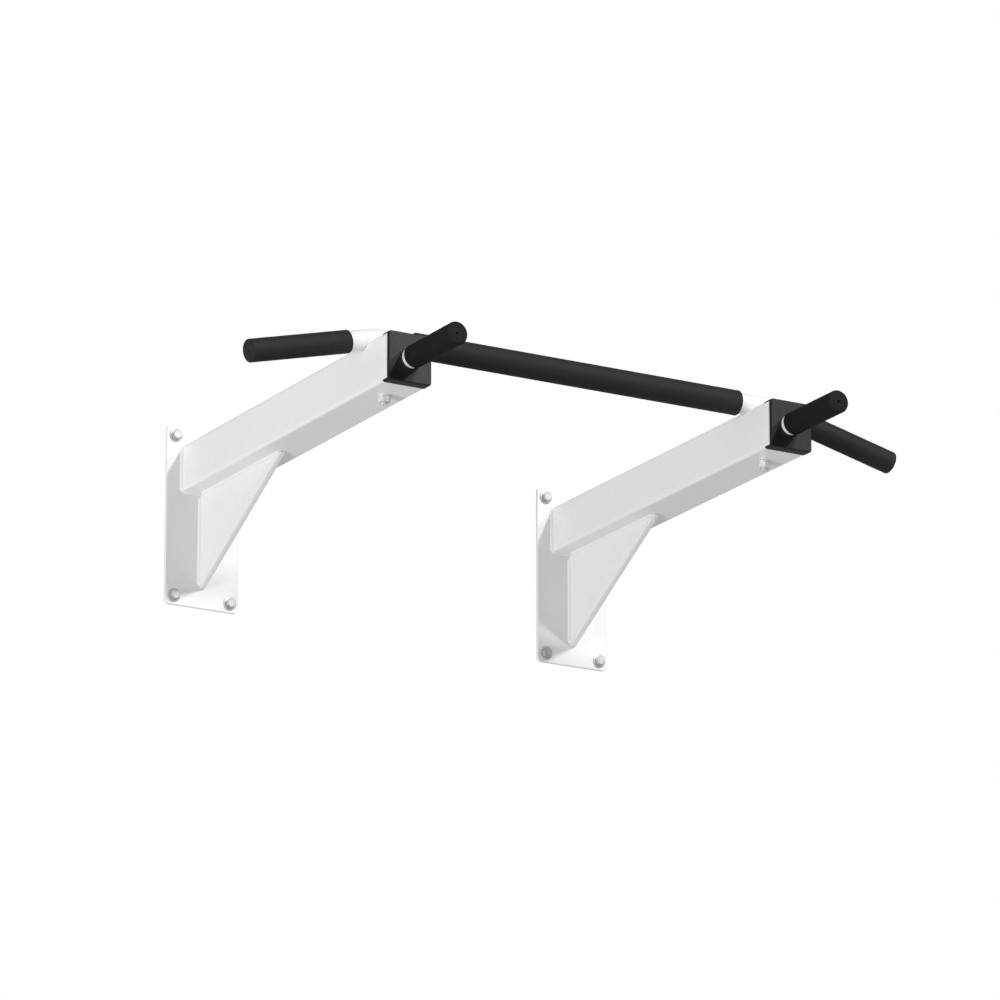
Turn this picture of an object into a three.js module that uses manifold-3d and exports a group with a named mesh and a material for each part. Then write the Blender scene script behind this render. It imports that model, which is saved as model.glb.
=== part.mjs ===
// A wall-mounted pull-up bar: two welded wall brackets, one bent cross bar bolted across the
// tops of their arms, and a straight handle standing out of the front of each arm.
//
// Millimetres. X runs along the cross bar, +Y points into the wall and +Z is up. The origin
// is on the wall's surface, midway between the brackets and at half the wall plates' height.

import * as THREE from "three";
import { mergeVertices } from "three/addons/utils/BufferGeometryUtils.js";
import Module from "manifold-3d";

const wasm = await Module();
wasm.setup();

// Fits
const clearance = 0.3; // round a piece that sits in a hole, a notch or a sleeve
const boltHolePlay = 0.5; // round a bolt in the hole of a plate or a tube

// Brackets
const armSpacing = 628; // centre to centre
const plateWidth = 120;
const plateHeight = 272;
const plateThickness = 5;
const plateCornerRadius = 7;
const armSize = 70; // outside of the square tube
const armWall = 3;
const armCornerRadius = 5;
const armLength = 618; // from the plate's front face
const armBelowPlateTop = 28;
const gussetLength = 251; // along the underside of the arm, to its sharp corner
const gussetHeight = 145; // down the wall plate, to its sharp corner
const gussetThickness = 9;
const gussetNose = 2; // the blunt edge that ends each sharp corner

// Wall fixings
const wallBoltInsetX = 14; // from the plate's edge to the bolt's centre
const wallBoltInsetZ = 14;
const wallBoltDiameter = 8;
const wallBoltDepth = 55; // reach into the wall
const wallBoltPoint = 8; // length of the tapered tip
const wallWasherDiameter = 20;
const wallWasherThickness = 2;
const wallHeadAcrossFlats = 13;
const wallHeadHeight = 5.3;

// Cross bar
const barDiameter = 30;
const barWall = 2.5;
const barSetback = 69; // from the front end of the arm to the bar's axis
const barSeatDepth = 3.5; // how far the bar sinks into the notch in the arm
const bendAngle = THREE.MathUtils.degToRad(14);
const bendRadius = 120;
const bendOffset = 13.5; // from the arm's centre outwards to the corner of the two straight runs

// Fixing of the cross bar
const barStudDiameter = 10; // welded into the bar, flush with its upper side
const barStudTail = 4; // thread showing below the nut
const barWasherDiameter = 20;
const barWasherThickness = 2;
const barNutAcrossFlats = 16;
const barNutHeight = 8.4;

// Grips
const mainGripThickness = 3.5; // of each soft sleeve, measured from its tube
const outerGripThickness = 1.8;
const handleGripThickness = 2;
const gripRimRadius = 0.8;
const gripEndRadius = 3;
const gripEndWall = 4;
const gripVentRadius = 1.5;
const mainGripGap = 11.5; // to the inner side of each arm
const outerGripGap = 25; // to the outer side of each arm
const outerGripLength = 162;

// End caps and front handles
const capThickness = 5;
const capCornerRadius = 4;
const capSideInset = 1; // bare wall end showing at each side of the cap
const capLipThickness = 1; // of the two lips that hug the arm, above and below
const capLipLength = 13;
const capLipWrap = 2.5; // how far each lip comes round onto the arm's sides
const capInsertLength = 15;
const capInsertWall = 2.5;
const handleDiameter = 30;
const handleWall = 2.5;
const handleInset = 2; // from the arm's centre towards the middle of the bar
const handleNeck = 8; // bare tube between the cap and the grip
const handleGripLength = 121.5;
const handlePlateThickness = 6;
const handlePlateDepth = 24; // from the arm's front end to the face of the plate inside it
const handleTail = 8; // tube showing behind that plate

// Fineness of round shapes
const tubeSegments = 28;
const smallSegments = 16;
const cornerSegments = 3;
const bendSteps = 4;

// Places that follow from the sizes above
const armTop = plateHeight / 2 - armBelowPlateTop;
const armBottom = armTop - armSize;
const armCentre = (armTop + armBottom) / 2;
const armBack = -plateThickness;
const armFront = armBack - armLength;
const boltPatternX = plateWidth - 2 * wallBoltInsetX;
const boltPatternZ = plateHeight - 2 * wallBoltInsetZ;
const barRadius = barDiameter / 2;
const barY = armFront + barSetback;
const barZ = armTop + barRadius - barSeatDepth;
const bendX = armSpacing / 2 + bendOffset;
const levelHalf = bendX - bendRadius * Math.tan(bendAngle / 2); // level run, to the start of the bend
const bendLength = bendRadius * bendAngle;
const outerGripStart = (armSpacing / 2 + armSize / 2 + outerGripGap - bendX) / Math.cos(bendAngle)
  - bendRadius * Math.tan(bendAngle / 2); // along the sloping run, from the end of the bend
const outerRun = outerGripStart + outerGripLength - gripEndWall - clearance;
const barHalfLength = levelHalf + bendLength + outerRun;

const finishes = {
  whitePaint: { color: 0xe8e8e6, roughness: 0.42, metalness: 0 },
  blackFoam: { color: 0x232322, roughness: 0.78, metalness: 0 },
  blackPlastic: { color: 0x2c2c2c, roughness: 0.5, metalness: 0 },
  zincPlate: { color: 0xb4b7ba, roughness: 0.34, metalness: 1 },
};

// Closed meshes as solids, and back

function solidOf(geometry) {
  const bare = geometry.clone();
  bare.deleteAttribute("normal");
  bare.deleteAttribute("uv");
  const merged = mergeVertices(bare, 1e-4);
  return new wasm.Manifold(
    new wasm.Mesh({
      numProp: 3,
      vertProperties: merged.attributes.position.array,
      triVerts: new Uint32Array(merged.index.array),
    }),
  );
}

function geometryOf(solid) {
  const { vertProperties, triVerts } = solid.getMesh();
  const indexed = new THREE.BufferGeometry();
  indexed.setAttribute("position", new THREE.BufferAttribute(vertProperties, 3));
  indexed.setIndex(new THREE.BufferAttribute(triVerts, 1));
  const flat = indexed.toNonIndexed();
  flat.computeVertexNormals();
  return flat;
}

function join(...geometries) {
  const solids = geometries.map(solidOf);
  return geometryOf(solids.reduce((whole, piece) => whole.add(piece)));
}

function cut(geometry, ...tools) {
  const solids = tools.map(solidOf);
  return geometryOf(solids.reduce((rest, tool) => rest.subtract(tool), solidOf(geometry)));
}

// Outlines

function circle(radius, segments, x = 0, z = 0) {
  const points = [];
  for (let i = 0; i < segments; i += 1) {
    const angle = (2 * Math.PI * i) / segments;
    points.push(new THREE.Vector2(x + radius * Math.cos(angle), z + radius * Math.sin(angle)));
  }
  return points;
}

function roundedRectangle(width, height, radius, z = 0) {
  const points = [];
  const corners = [[1, 1], [-1, 1], [-1, -1], [1, -1]];
  corners.forEach(([signX, signZ], quarter) => {
    const centreX = signX * (width / 2 - radius);
    const centreZ = z + signZ * (height / 2 - radius);
    for (let i = 0; i <= cornerSegments; i += 1) {
      const angle = (Math.PI / 2) * (quarter + i / cornerSegments);
      const x = centreX + radius * Math.cos(angle);
      points.push(new THREE.Vector2(x, centreZ + radius * Math.sin(angle)));
    }
  });
  return points;
}

function shapeOf(outline, holes = []) {
  const shape = new THREE.Shape(outline);
  shape.holes = holes.map((points) => new THREE.Path(points));
  return shape;
}

// Stretches an outline drawn in X and Z away from the wall, from backY by depth.
function slab(outline, holes, depth, backY) {
  const geometry = new THREE.ExtrudeGeometry(shapeOf(outline, holes), { depth, bevelEnabled: false });
  geometry.rotateX(Math.PI / 2);
  geometry.translate(0, backY, 0);
  return geometry;
}

function box(lowest, highest) {
  const size = highest.map((value, i) => value - lowest[i]);
  const centre = highest.map((value, i) => (value + lowest[i]) / 2);
  return new THREE.BoxGeometry(...size).translate(...centre);
}

// A ring or nut lying flat: its outline in X and Y, its hole round the Z axis, from bottom up.
function flatRing(outline, holeRadius, bottom, height) {
  const shape = shapeOf(outline, [circle(holeRadius, smallSegments)]);
  const geometry = new THREE.ExtrudeGeometry(shape, { depth: height, bevelEnabled: false });
  return geometry.translate(0, 0, bottom);
}

function hexagon(acrossFlats) {
  return circle(acrossFlats / Math.sqrt(3), 6);
}

// Points of a quarter round about a centre, from one angle to the next quarter.
function quarterRound(centreX, centreY, radius, quarter) {
  const points = [];
  for (let i = 0; i <= cornerSegments; i += 1) {
    const angle = (Math.PI / 2) * (quarter + i / cornerSegments);
    const x = centreX + radius * Math.cos(angle);
    points.push(new THREE.Vector2(x, centreY + radius * Math.sin(angle)));
  }
  return points;
}

// A sleeve round +Y with its mouth at 0. With an end wall it is closed but for a small vent.
function sleeve(tubeRadius, thickness, length, endWall) {
  const inner = tubeRadius + clearance;
  const outer = tubeRadius + thickness;
  const farRadius = endWall > 0 ? gripEndRadius : gripRimRadius;
  const profile = [
    new THREE.Vector2(inner, 0),
    ...quarterRound(outer - gripRimRadius, gripRimRadius, gripRimRadius, 3),
    ...quarterRound(outer - farRadius, length - farRadius, farRadius, 0),
  ];
  if (endWall > 0) {
    profile.push(new THREE.Vector2(gripVentRadius, length));
    profile.push(new THREE.Vector2(gripVentRadius, length - endWall));
    profile.push(new THREE.Vector2(inner, length - endWall));
  } else {
    profile.push(new THREE.Vector2(inner, length));
  }
  profile.push(profile[0].clone());
  return new THREE.LatheGeometry(profile, tubeSegments);
}

// The cross bar's centre line: level in the middle, sloping down beyond the arms. Its steps
// follow the stations, so the straight runs take one step each and the bends several.
class BarLine extends THREE.Curve {
  constructor() {
    super();
    const half = [0];
    for (let i = 0; i <= bendSteps; i += 1) half.push(levelHalf + (bendLength * i) / bendSteps);
    half.push(barHalfLength);
    this.stations = [...half.slice(1).reverse().map((s) => -s), ...half];
  }

  get steps() {
    return this.stations.length - 1;
  }

  getUtoTmapping(u) {
    return u;
  }

  distanceAt(t) {
    const place = t * this.steps;
    const index = Math.min(Math.floor(place), this.steps - 1);
    return THREE.MathUtils.lerp(this.stations[index], this.stations[index + 1], place - index);
  }

  slopeAt(distance) {
    return THREE.MathUtils.clamp((Math.abs(distance) - levelHalf) / bendRadius, 0, bendAngle);
  }

  getPoint(t, target = new THREE.Vector3()) {
    const distance = this.distanceAt(t);
    const slope = this.slopeAt(distance);
    const level = Math.min(Math.abs(distance), levelHalf);
    const sloping = Math.max(Math.abs(distance) - levelHalf - bendLength, 0);
    const x = level + bendRadius * Math.sin(slope) + sloping * Math.cos(slope);
    const drop = bendRadius * (1 - Math.cos(slope)) + sloping * Math.sin(slope);
    return target.set(Math.sign(distance) * x, barY, barZ - drop);
  }

  getTangent(t, target = new THREE.Vector3()) {
    const distance = this.distanceAt(t);
    const slope = this.slopeAt(distance) * Math.sign(distance);
    return target.set(Math.cos(slope), 0, -Math.sin(slope));
  }
}

const barLine = new BarLine();

function alongBar(outline, holes = []) {
  const options = { steps: barLine.steps, extrudePath: barLine };
  return new THREE.ExtrudeGeometry(shapeOf(outline, holes), options);
}

// Pieces

function piece(name, geometry, finish) {
  const mesh = new THREE.Mesh(geometry, new THREE.MeshStandardMaterial(finish));
  mesh.name = name;
  return mesh;
}

const boltPlaces = [[-1, 1], [1, 1], [-1, -1], [1, -1]].map(([signX, signZ]) => [
  (signX * boltPatternX) / 2,
  (signZ * boltPatternZ) / 2,
]);

function wallPlate() {
  const holeRadius = wallBoltDiameter / 2 + boltHolePlay;
  const holes = boltPlaces.map(([x, z]) => circle(holeRadius, smallSegments, x, z));
  return slab(roundedRectangle(plateWidth, plateHeight, plateCornerRadius), holes, plateThickness, 0);
}

function armOutline() {
  return roundedRectangle(armSize, armSize, armCornerRadius, armCentre);
}

function armTube(side) {
  const inside = armSize - 2 * armWall;
  const bore = roundedRectangle(inside, inside, armCornerRadius - armWall, armCentre);
  const tube = slab(armOutline(), [bore], armLength, armBack);
  const notch = alongBar(circle(barRadius + clearance, tubeSegments));
  notch.translate((-side * armSpacing) / 2, 0, 0);
  const holeRadius = barStudDiameter / 2 + boltHolePlay;
  const studHole = new THREE.CylinderGeometry(holeRadius, holeRadius, 2 * armSize, smallSegments);
  studHole.rotateX(Math.PI / 2);
  studHole.translate(0, barY, armCentre);
  return cut(tube, notch, studHole);
}

// A right triangle between the plate and the arm, drawn in Y and Z, with its two sharp corners cut.
function gusset() {
  const reach = gussetLength * (1 - gussetNose / gussetHeight);
  const drop = gussetHeight * (1 - gussetNose / gussetLength);
  const outline = [
    new THREE.Vector2(0, 0),
    new THREE.Vector2(0, -drop),
    new THREE.Vector2(gussetNose, -drop),
    new THREE.Vector2(reach, -gussetNose),
    new THREE.Vector2(reach, 0),
  ];
  const options = { depth: gussetThickness, bevelEnabled: false };
  const geometry = new THREE.ExtrudeGeometry(shapeOf(outline), options);
  geometry.rotateX(Math.PI / 2);
  geometry.rotateZ(-Math.PI / 2);
  return geometry.translate(gussetThickness / 2, armBack, armBottom);
}

function endCap(side) {
  const faceWidth = armSize - 2 * capSideInset;
  const lipSize = armSize + 2 * capLipThickness;
  const faceOutline = roundedRectangle(faceWidth, lipSize, capCornerRadius, armCentre);
  const face = slab(faceOutline, [], capThickness, armFront);
  const skirt = slab(
    roundedRectangle(lipSize, lipSize, armCornerRadius + capLipThickness, armCentre),
    [],
    capLipLength + capThickness / 2,
    armFront + capLipLength,
  );
  const arm = slab(armOutline(), [], 2 * capLipLength, armFront + 2 * capLipLength);
  const openSides = box(
    [-lipSize, armFront - capThickness, armBottom + capLipWrap],
    [lipSize, armFront + 2 * capLipLength, armTop - capLipWrap],
  );
  const lips = cut(skirt, arm, openSides);
  const insertSize = armSize - 2 * (armWall + clearance);
  const insertBore = insertSize - 2 * capInsertWall;
  const insert = slab(
    roundedRectangle(insertSize, insertSize, armCornerRadius - armWall, armCentre),
    [roundedRectangle(insertBore, insertBore, capInsertWall / 2, armCentre)],
    capInsertLength + capThickness / 2,
    armFront + capInsertLength,
  );
  const hole = new THREE.CylinderGeometry(
    handleDiameter / 2 + clearance,
    handleDiameter / 2 + clearance,
    4 * capThickness,
    tubeSegments,
  );
  hole.translate(-side * handleInset, armFront, armCentre);
  return cut(join(face, lips, insert), hole);
}

// The steel plate welded inside the arm, which the handle's tube passes through.
function handlePlate(side) {
  const size = armSize - 2 * (armWall + clearance);
  const outline = roundedRectangle(size, size, armCornerRadius - armWall, armCentre);
  const hole = circle(handleDiameter / 2 + clearance, tubeSegments, -side * handleInset, armCentre);
  return slab(outline, [hole], handlePlateThickness, armFront + handlePlateDepth + handlePlateThickness);
}

function handleTube(side) {
  const back = armFront + handlePlateDepth + handlePlateThickness + handleTail;
  const front = armFront - capThickness - handleNeck - handleGripLength + gripEndWall + clearance;
  const x = -side * handleInset;
  const outline = circle(handleDiameter / 2, tubeSegments, x, armCentre);
  const bore = circle(handleDiameter / 2 - handleWall, tubeSegments, x, armCentre);
  return slab(outline, [bore], back - front, back);
}

function handleGrip(side) {
  const geometry = sleeve(handleDiameter / 2, handleGripThickness, handleGripLength, gripEndWall);
  geometry.rotateX(Math.PI);
  return geometry.translate(-side * handleInset, armFront - capThickness - handleNeck, armCentre);
}

// Hexagon head outside the washer, threaded shank through the plate and into the wall.
function wallBolt() {
  const seat = armBack - wallWasherThickness;
  const shankRadius = wallBoltDiameter / 2;
  const profile = [
    new THREE.Vector2(0, seat - wallHeadHeight / 2),
    new THREE.Vector2(shankRadius, seat - wallHeadHeight / 2),
    new THREE.Vector2(shankRadius, wallBoltDepth - wallBoltPoint),
    new THREE.Vector2(0, wallBoltDepth),
  ];
  const shank = new THREE.LatheGeometry(profile, smallSegments);
  return join(slab(hexagon(wallHeadAcrossFlats), [], wallHeadHeight, seat), shank);
}

function wallWasher() {
  const hole = circle(wallBoltDiameter / 2 + clearance, smallSegments);
  return slab(circle(wallWasherDiameter / 2, smallSegments), [hole], wallWasherThickness, armBack);
}

// A length of thread through both walls of the bar and of the arm, ground flush above.
function barStud() {
  const shankRadius = barStudDiameter / 2;
  const top = barZ + Math.sqrt(barRadius ** 2 - shankRadius ** 2);
  const bottom = armBottom - barWasherThickness - barNutHeight - barStudTail;
  const stud = new THREE.CylinderGeometry(shankRadius, shankRadius, top - bottom, smallSegments);
  stud.rotateX(Math.PI / 2);
  return stud.translate(0, barY, (top + bottom) / 2);
}

function barWasher() {
  const hole = barStudDiameter / 2 + clearance;
  const bottom = armBottom - barWasherThickness;
  const ring = flatRing(circle(barWasherDiameter / 2, smallSegments), hole, bottom, barWasherThickness);
  return ring.translate(0, barY, 0);
}

function barNut() {
  const bottom = armBottom - barWasherThickness - barNutHeight;
  const hole = barStudDiameter / 2 + clearance;
  return flatRing(hexagon(barNutAcrossFlats), hole, bottom, barNutHeight).translate(0, barY, 0);
}

// Hollow bent tube with, over each arm, a hole through both walls that its stud fills.
function crossBarTube() {
  const bore = circle(barRadius - barWall, tubeSegments);
  const tube = alongBar(circle(barRadius, tubeSegments), [bore]);
  const studHoles = [-1, 1].map((side) => {
    const radius = barStudDiameter / 2;
    const hole = new THREE.CylinderGeometry(radius, radius, 4 * barRadius, smallSegments);
    hole.rotateX(Math.PI / 2);
    return hole.translate((side * armSpacing) / 2, barY, barZ);
  });
  return cut(tube, ...studHoles);
}

function mainGrip() {
  const half = armSpacing / 2 - armSize / 2 - mainGripGap;
  const geometry = sleeve(barRadius, mainGripThickness, 2 * half, 0);
  geometry.rotateZ(-Math.PI / 2);
  return geometry.translate(-half, barY, barZ);
}

function outerGrip(side) {
  const geometry = sleeve(barRadius, outerGripThickness, outerGripLength, gripEndWall);
  const bendEnd = new THREE.Vector3(
    levelHalf + bendRadius * Math.sin(bendAngle),
    barY,
    barZ - bendRadius * (1 - Math.cos(bendAngle)),
  );
  geometry.rotateZ(-Math.PI / 2);
  geometry.translate(outerGripStart, 0, 0);
  geometry.rotateY(bendAngle);
  geometry.translate(...bendEnd.toArray());
  return side < 0 ? geometry.rotateZ(Math.PI).translate(0, 2 * barY, 0) : geometry;
}

function bracket(side, sideName) {
  const group = new THREE.Group();
  group.position.x = (side * armSpacing) / 2;
  group.add(
    piece(`${sideName}_wall_plate`, wallPlate(), finishes.whitePaint),
    piece(`${sideName}_arm_tube`, armTube(side), finishes.whitePaint),
    piece(`${sideName}_gusset`, gusset(), finishes.whitePaint),
    piece(`${sideName}_end_cap`, endCap(side), finishes.blackPlastic),
    piece(`${sideName}_handle_plate`, handlePlate(side), finishes.whitePaint),
    piece(`${sideName}_handle_tube`, handleTube(side), finishes.whitePaint),
    piece(`${sideName}_handle_grip`, handleGrip(side), finishes.blackFoam),
    piece(`${sideName}_bar_stud`, barStud(), finishes.zincPlate),
    piece(`${sideName}_bar_washer`, barWasher(), finishes.zincPlate),
    piece(`${sideName}_bar_nut`, barNut(), finishes.zincPlate),
  );
  boltPlaces.forEach(([x, z], i) => {
    const bolt = piece(`${sideName}_wall_bolt_${i + 1}`, wallBolt(), finishes.zincPlate);
    const washer = piece(`${sideName}_wall_washer_${i + 1}`, wallWasher(), finishes.zincPlate);
    bolt.position.set(x, 0, z);
    washer.position.set(x, 0, z);
    group.add(bolt, washer);
  });
  return group;
}

const pullUpBar = new THREE.Group();
pullUpBar.add(
  bracket(-1, "left"),
  bracket(1, "right"),
  piece("cross_bar_tube", crossBarTube(), finishes.whitePaint),
  piece("main_grip", mainGrip(), finishes.blackFoam),
  piece("left_outer_grip", outerGrip(-1), finishes.blackFoam),
  piece("right_outer_grip", outerGrip(1), finishes.blackFoam),
);

export default pullUpBar;
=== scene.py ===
import bpy
import bmesh
import numpy as np
from mathutils import Matrix, Vector


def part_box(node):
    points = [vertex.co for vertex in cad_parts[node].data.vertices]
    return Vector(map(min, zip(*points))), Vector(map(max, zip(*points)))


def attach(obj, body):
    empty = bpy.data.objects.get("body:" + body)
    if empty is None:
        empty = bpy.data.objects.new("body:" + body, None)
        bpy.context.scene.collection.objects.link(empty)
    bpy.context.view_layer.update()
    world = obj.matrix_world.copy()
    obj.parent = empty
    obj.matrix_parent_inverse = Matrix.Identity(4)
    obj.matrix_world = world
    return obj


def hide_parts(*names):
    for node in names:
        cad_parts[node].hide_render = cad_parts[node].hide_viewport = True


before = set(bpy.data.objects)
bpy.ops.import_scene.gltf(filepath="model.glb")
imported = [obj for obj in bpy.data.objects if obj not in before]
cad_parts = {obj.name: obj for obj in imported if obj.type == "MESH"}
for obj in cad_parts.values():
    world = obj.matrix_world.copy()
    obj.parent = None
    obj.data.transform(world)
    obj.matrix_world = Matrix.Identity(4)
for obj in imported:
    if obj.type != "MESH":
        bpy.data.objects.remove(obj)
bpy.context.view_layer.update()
print("frame loaded:", len(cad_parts), "pieces")


def gridFaces(rows, columns, wrapRows=False, wrapColumns=False):
    # Quads between neighbouring lines of a grid; a wrapped direction joins its last line to its first.
    r = np.arange(rows if wrapRows else rows - 1)
    c = np.arange(columns if wrapColumns else columns - 1)
    r, c = (a.ravel() for a in np.meshgrid(r, c, indexing="ij"))
    nextR, nextC = (r + 1) % rows, (c + 1) % columns
    corners = [r * columns + c, nextR * columns + c, nextR * columns + nextC, r * columns + nextC]
    return np.stack(corners, axis=1)


def surface(points, wrapRows=False, wrapColumns=False):
    # A grid of points, rows by columns by three, with its faces.
    rows, columns = points.shape[:2]
    return points.reshape(-1, 3), gridFaces(rows, columns, wrapRows, wrapColumns)


def makePiece(name, surfaces, material, nodes, smoothUnder=38):
    # Joins the surfaces into one closed mesh, points its faces outwards and hands it to the frame.
    offsets = np.cumsum([0] + [len(p) for p, f in surfaces])
    points = np.concatenate([p for p, f in surfaces])
    faces = np.concatenate([f + o for (p, f), o in zip(surfaces, offsets)])
    mesh = bpy.data.meshes.new(name)
    mesh.from_pydata(points.tolist(), [], faces.tolist())
    work = bmesh.new()
    work.from_mesh(mesh)
    bmesh.ops.remove_doubles(work, verts=work.verts, dist=2e-6)
    bmesh.ops.dissolve_degenerate(work, edges=work.edges, dist=1e-6)
    bmesh.ops.recalc_face_normals(work, faces=work.faces)
    openEdges = sum(1 for e in work.edges if not e.is_manifold)
    work.to_mesh(mesh)
    work.free()
    mesh.shade_smooth()
    mesh.set_sharp_from_angle(angle=np.radians(smoothUnder))
    mesh.materials.append(material)
    piece = bpy.data.objects.new(name, mesh)
    bpy.context.scene.collection.objects.link(piece)
    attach(piece, "root")
    if nodes:
        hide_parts(*nodes)
    if openEdges:
        print("open edges on", name, openEdges)
    return piece


def middle(node):
    low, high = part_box(node)
    return (np.array(low) + np.array(high)) / 2


def turned(profile, angles, start, along, sideways):
    # A profile of distance along the axis and radius, carried round the axis: point = start + along
    # times distance + radius times the turned sideways direction.
    along, sideways = np.array(along, float), np.array(sideways, float)
    across = np.cross(along, sideways)
    distance, radius = profile[:, 0][:, None, None], profile[:, 1][:, None, None]
    ring = np.cos(angles)[None, :, None] * sideways + np.sin(angles)[None, :, None] * across
    return np.array(start, float) + distance * along + radius * ring


def quarterArc(centreA, centreB, radius, fromDegrees, toDegrees, steps):
    # Points on an arc round a centre in the profile's own plane.
    a = np.radians(np.linspace(fromDegrees, toDegrees, steps + 1))
    return np.stack([centreA + radius * np.cos(a), centreB + radius * np.sin(a)], axis=1)


def roundAngles(count):
    return np.linspace(0, 2 * np.pi, count, endpoint=False)


def newGroup(name, inputs, outputs):
    group = bpy.data.node_groups.new(name, "ShaderNodeTree")
    for label, kind, value in inputs:
        socket = group.interface.new_socket(name=label, in_out="INPUT", socket_type=kind)
        if value is not None:
            socket.default_value = value
    for label, kind in outputs:
        group.interface.new_socket(name=label, in_out="OUTPUT", socket_type=kind)
    return group, group.nodes.new("NodeGroupInput"), group.nodes.new("NodeGroupOutput")


def feed(tree, socket, value):
    # Sets a number or a colour on the socket, or links another node's output to it.
    if isinstance(value, (int, float)):
        socket.default_value = value
    elif isinstance(value, (tuple, list)):
        socket.default_value = (*value, 1.0)
    else:
        tree.links.new(value, socket)


def mathNode(tree, operation, a, b, clamp=False):
    node = tree.nodes.new("ShaderNodeMath")
    node.operation = operation
    node.use_clamp = clamp
    for socket, value in zip(node.inputs, (a, b)):
        feed(tree, socket, value)
    return node.outputs[0]


def mapRange(tree, value, fromLow, fromHigh, toLow, toHigh):
    node = tree.nodes.new("ShaderNodeMapRange")
    labels = ("Value", "From Min", "From Max", "To Min", "To Max")
    for label, number in zip(labels, (value, fromLow, fromHigh, toLow, toHigh)):
        feed(tree, node.inputs[label], number)
    return node.outputs["Result"]


def noiseNode(tree, vector, scale, detail, roughness=0.5):
    node = tree.nodes.new("ShaderNodeTexNoise")
    labels = ("Vector", "Scale", "Detail", "Roughness")
    for label, value in zip(labels, (vector, scale, detail, roughness)):
        feed(tree, node.inputs[label], value)
    return node.outputs["Fac"]


def buildGrainGroup():
    # Two sizes of noise: fine grain as a height, and a slow drift as a mask from 0 to 1.
    group, inside, out = newGroup(
        "surfaceGrain",
        [("Position", "NodeSocketVector", None), ("Grain Scale", "NodeSocketFloat", 1200.0),
         ("Drift Scale", "NodeSocketFloat", 9.0), ("Pit Scale", "NodeSocketFloat", 600.0),
         ("Pit Depth", "NodeSocketFloat", 0.0)],
        [("Height", "NodeSocketFloat"), ("Drift", "NodeSocketFloat"), ("Pits", "NodeSocketFloat")],
    )
    grain = noiseNode(group, inside.outputs["Position"], inside.outputs["Grain Scale"], 3.0, 0.6)
    drift = noiseNode(group, inside.outputs["Position"], inside.outputs["Drift Scale"], 4.0, 0.55)
    cells = group.nodes.new("ShaderNodeTexVoronoi")
    cells.feature = "F1"
    group.links.new(inside.outputs["Position"], cells.inputs["Vector"])
    group.links.new(inside.outputs["Pit Scale"], cells.inputs["Scale"])
    pits = mapRange(group, cells.outputs["Distance"], 0.05, 0.42, 1.0, 0.0)
    dug = mathNode(group, "MULTIPLY", pits, inside.outputs["Pit Depth"])
    group.links.new(mathNode(group, "SUBTRACT", grain, dug), out.inputs["Height"])
    group.links.new(mapRange(group, drift, 0.3, 0.7, 0.0, 1.0), out.inputs["Drift"])
    group.links.new(pits, out.inputs["Pits"])
    return group


def buildDustGroup():
    # Fine dust that settles on faces that look up, broken up by noise, as a mask.
    group, inside, out = newGroup(
        "settledDust",
        [("Position", "NodeSocketVector", None), ("Amount", "NodeSocketFloat", 0.3)],
        [("Mask", "NodeSocketFloat")],
    )
    geometry = group.nodes.new("ShaderNodeNewGeometry")
    split = group.nodes.new("ShaderNodeSeparateXYZ")
    group.links.new(geometry.outputs["Normal"], split.inputs[0])
    facingUp = mapRange(group, split.outputs["Z"], 0.35, 1.0, 0.0, 1.0)
    patches = noiseNode(group, inside.outputs["Position"], 38.0, 6.0, 0.65)
    broken = mapRange(group, patches, 0.42, 0.68, 0.0, 1.0)
    settled = mathNode(group, "MULTIPLY", facingUp, broken)
    mask = mathNode(group, "MULTIPLY", settled, inside.outputs["Amount"])
    group.links.new(mask, out.inputs["Mask"])
    return group


def buildWearGroup():
    # Outward edges, where the surface bends most, rubbed in patches by noise, as a mask.
    group, inside, out = newGroup(
        "edgeWear",
        [("Position", "NodeSocketVector", None), ("Patch Scale", "NodeSocketFloat", 160.0),
         ("Amount", "NodeSocketFloat", 0.5)],
        [("Mask", "NodeSocketFloat")],
    )
    geometry = group.nodes.new("ShaderNodeNewGeometry")
    edge = mapRange(group, geometry.outputs["Pointiness"], 0.505, 0.56, 0.0, 1.0)
    patches = noiseNode(group, inside.outputs["Position"], inside.outputs["Patch Scale"], 5.0, 0.6)
    rubbed = mapRange(group, patches, 0.40, 0.62, 0.0, 1.0)
    mask = mathNode(group, "MULTIPLY", mathNode(group, "MULTIPLY", edge, rubbed), inside.outputs["Amount"])
    group.links.new(mask, out.inputs["Mask"])
    return group


grainGroup = buildGrainGroup()
dustGroup = buildDustGroup()
wearGroup = buildWearGroup()


def placeGroup(tree, group, position, values):
    node = tree.nodes.new("ShaderNodeGroup")
    node.node_tree = group
    tree.links.new(position, node.inputs["Position"])
    for label, value in values.items():
        node.inputs[label].default_value = value
    return node


def mixColours(tree, factor, first, second):
    node = tree.nodes.new("ShaderNodeMix")
    node.data_type = "RGBA"
    tree.links.new(factor, node.inputs["Factor"])
    feed(tree, node.inputs[6], first)
    feed(tree, node.inputs[7], second)
    return node.outputs[2]


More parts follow.
